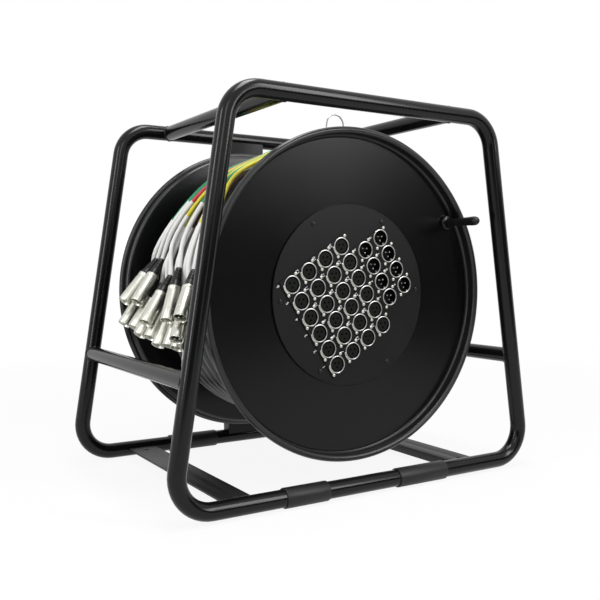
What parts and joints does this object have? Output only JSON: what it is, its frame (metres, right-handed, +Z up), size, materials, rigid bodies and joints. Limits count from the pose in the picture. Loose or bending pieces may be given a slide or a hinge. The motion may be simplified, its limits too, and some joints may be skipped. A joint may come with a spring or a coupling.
{
  "type": "multicore cable drum",
  "caption": "Sheet steel cable drum on a stub axle in a bent tube frame, wound with a multicore cable that fans out into plugged tails, with a round panel of audio sockets in the hub.",
  "frame": {"origin": "on the floor, under the middle of the frame, level with the undersides of the foot sleeves", "axes": "+X to the right along the front loop, +Y from the connector panel to the rear upright, along the axle, and +Z up"},
  "size_m": [0.5752, 0.39, 0.5217],
  "materials": {
    "black_paint": "satin black powder coat",
    "black_rubber": "matt",
    "black_plastic": "satin",
    "zinc_steel": "zinc plated",
    "bronze": "sintered",
    "nickel": "nickel plated",
    "bright_wire": "bright",
    "cable_jacket": "satin",
    "tail_green": "satin",
    "tail_yellow": "satin",
    "tail_red": "satin",
    "tail_grey": "satin"
  },
  "bodies": {
    "frame": {"front_frame_tube": "black_paint", "rear_frame_tube": "black_paint", "top_cross_tube_left": "black_paint", "top_cross_tube_right": "black_paint", "side_cross_tube_left": "black_paint", "side_cross_tube_right": "black_paint", "base_rail_left": "black_paint", "base_rail_right": "black_paint", "foot_sleeve_front_left": "black_rubber", "foot_sleeve_front_right": "black_rubber", "foot_sleeve_rear_left": "black_rubber", "foot_sleeve_rear_right": "black_rubber", "rear_upright": "black_paint", "axle": "zinc_steel", "axle_nut_rear": "zinc_steel", "axle_nut_front": "zinc_steel"},
    "drum": {"core_barrel": "black_paint", "bush_front": "bronze", "bush_rear": "bronze", "front_flange": "black_paint", "rear_flange": "black_paint", "anchor_eye": "bright_wire", "winding_core": "black_rubber", "multicore_winding": "cable_jacket", "breakout_boot": "black_rubber", "connector_panel": "black_paint", "crank_boss": "black_paint", "tail_fan_1": "tail_green", "tail_fan_2": "tail_yellow", "tail_fan_3": "tail_red", "tail_fan_4": "tail_grey"},
    "crank_grip": {"crank_grip": "black_plastic"},
    "latch_01": {"latch_01": "nickel"},
    "latch_02": {"latch_02": "nickel"},
    "latch_03": {"latch_03": "nickel"},
    "latch_04": {"latch_04": "nickel"},
    "latch_05": {"latch_05": "nickel"},
    "latch_06": {"latch_06": "nickel"},
    "latch_07": {"latch_07": "nickel"},
    "latch_08": {"latch_08": "nickel"},
    "latch_09": {"latch_09": "nickel"},
    "latch_10": {"latch_10": "nickel"},
    "latch_11": {"latch_11": "nickel"},
    "latch_12": {"latch_12": "nickel"},
    "latch_13": {"latch_13": "nickel"},
    "latch_14": {"latch_14": "nickel"},
    "latch_15": {"latch_15": "nickel"},
    "latch_16": {"latch_16": "nickel"},
    "latch_17": {"latch_17": "nickel"},
    "latch_18": {"latch_18": "nickel"},
    "latch_19": {"latch_19": "nickel"},
    "latch_20": {"latch_20": "nickel"},
    "latch_21": {"latch_21": "nickel"},
    "latch_22": {"latch_22": "nickel"},
    "latch_23": {"latch_23": "nickel"},
    "latch_24": {"latch_24": "nickel"}
  },
  "joints": [
    {"name": "drum_turn", "type": "hinge", "parent": "frame", "child": "drum", "pos_m": [0, 0, 0.2606], "axis": [0, 1, 0], "continuous": true},
    {"name": "crank_grip_spin", "type": "hinge", "parent": "drum", "child": "crank_grip", "pos_m": [0.1744, -0.16, 0.364], "axis": [0, 1, 0], "continuous": true},
    {"name": "latch_press_01", "type": "slide", "parent": "drum", "child": "latch_01", "axis": [0, 1, 0], "range_m": [0, 0.0012], "stiffness_N_per_m": 300},
    {"name": "latch_press_02", "type": "slide", "parent": "drum", "child": "latch_02", "axis": [0, 1, 0], "range_m": [0, 0.0012], "stiffness_N_per_m": 300},
    {"name": "latch_press_03", "type": "slide", "parent": "drum", "child": "latch_03", "axis": [0, 1, 0], "range_m": [0, 0.0012], "stiffness_N_per_m": 300},
    {"name": "latch_press_04", "type": "slide", "parent": "drum", "child": "latch_04", "axis": [0, 1, 0], "range_m": [0, 0.0012], "stiffness_N_per_m": 300},
    {"name": "latch_press_05", "type": "slide", "parent": "drum", "child": "latch_05", "axis": [0, 1, 0], "range_m": [0, 0.0012], "stiffness_N_per_m": 300},
    {"name": "latch_press_06", "type": "slide", "parent": "drum", "child": "latch_06", "axis": [0, 1, 0], "range_m": [0, 0.0012], "stiffness_N_per_m": 300},
    {"name": "latch_press_07", "type": "slide", "parent": "drum", "child": "latch_07", "axis": [0, 1, 0], "range_m": [0, 0.0012], "stiffness_N_per_m": 300},
    {"name": "latch_press_08", "type": "slide", "parent": "drum", "child": "latch_08", "axis": [0, 1, 0], "range_m": [0, 0.0012], "stiffness_N_per_m": 300},
    {"name": "latch_press_09", "type": "slide", "parent": "drum", "child": "latch_09", "axis": [0, 1, 0], "range_m": [0, 0.0012], "stiffness_N_per_m": 300},
    {"name": "latch_press_10", "type": "slide", "parent": "drum", "child": "latch_10", "axis": [0, 1, 0], "range_m": [0, 0.0012], "stiffness_N_per_m": 300},
    {"name": "latch_press_11", "type": "slide", "parent": "drum", "child": "latch_11", "axis": [0, 1, 0], "range_m": [0, 0.0012], "stiffness_N_per_m": 300},
    {"name": "latch_press_12", "type": "slide", "parent": "drum", "child": "latch_12", "axis": [0, 1, 0], "range_m": [0, 0.0012], "stiffness_N_per_m": 300},
    {"name": "latch_press_13", "type": "slide", "parent": "drum", "child": "latch_13", "axis": [0, 1, 0], "range_m": [0, 0.0012], "stiffness_N_per_m": 300},
    {"name": "latch_press_14", "type": "slide", "parent": "drum", "child": "latch_14", "axis": [0, 1, 0], "range_m": [0, 0.0012], "stiffness_N_per_m": 300},
    {"name": "latch_press_15", "type": "slide", "parent": "drum", "child": "latch_15", "axis": [0, 1, 0], "range_m": [0, 0.0012], "stiffness_N_per_m": 300},
    {"name": "latch_press_16", "type": "slide", "parent": "drum", "child": "latch_16", "axis": [0, 1, 0], "range_m": [0, 0.0012], "stiffness_N_per_m": 300},
    {"name": "latch_press_17", "type": "slide", "parent": "drum", "child": "latch_17", "axis": [0, 1, 0], "range_m": [0, 0.0012], "stiffness_N_per_m": 300},
    {"name": "latch_press_18", "type": "slide", "parent": "drum", "child": "latch_18", "axis": [0, 1, 0], "range_m": [0, 0.0012], "stiffness_N_per_m": 300},
    {"name": "latch_press_19", "type": "slide", "parent": "drum", "child": "latch_19", "axis": [0, 1, 0], "range_m": [0, 0.0012], "stiffness_N_per_m": 300},
    {"name": "latch_press_20", "type": "slide", "parent": "drum", "child": "latch_20", "axis": [0, 1, 0], "range_m": [0, 0.0012], "stiffness_N_per_m": 300},
    {"name": "latch_press_21", "type": "slide", "parent": "drum", "child": "latch_21", "axis": [0, 1, 0], "range_m": [0, 0.0012], "stiffness_N_per_m": 300},
    {"name": "latch_press_22", "type": "slide", "parent": "drum", "child": "latch_22", "axis": [0, 1, 0], "range_m": [0, 0.0012], "stiffness_N_per_m": 300},
    {"name": "latch_press_23", "type": "slide", "parent": "drum", "child": "latch_23", "axis": [0, 1, 0], "range_m": [0, 0.0012], "stiffness_N_per_m": 300},
    {"name": "latch_press_24", "type": "slide", "parent": "drum", "child": "latch_24", "axis": [0, 1, 0], "range_m": [0, 0.0012], "stiffness_N_per_m": 300}
  ]
}
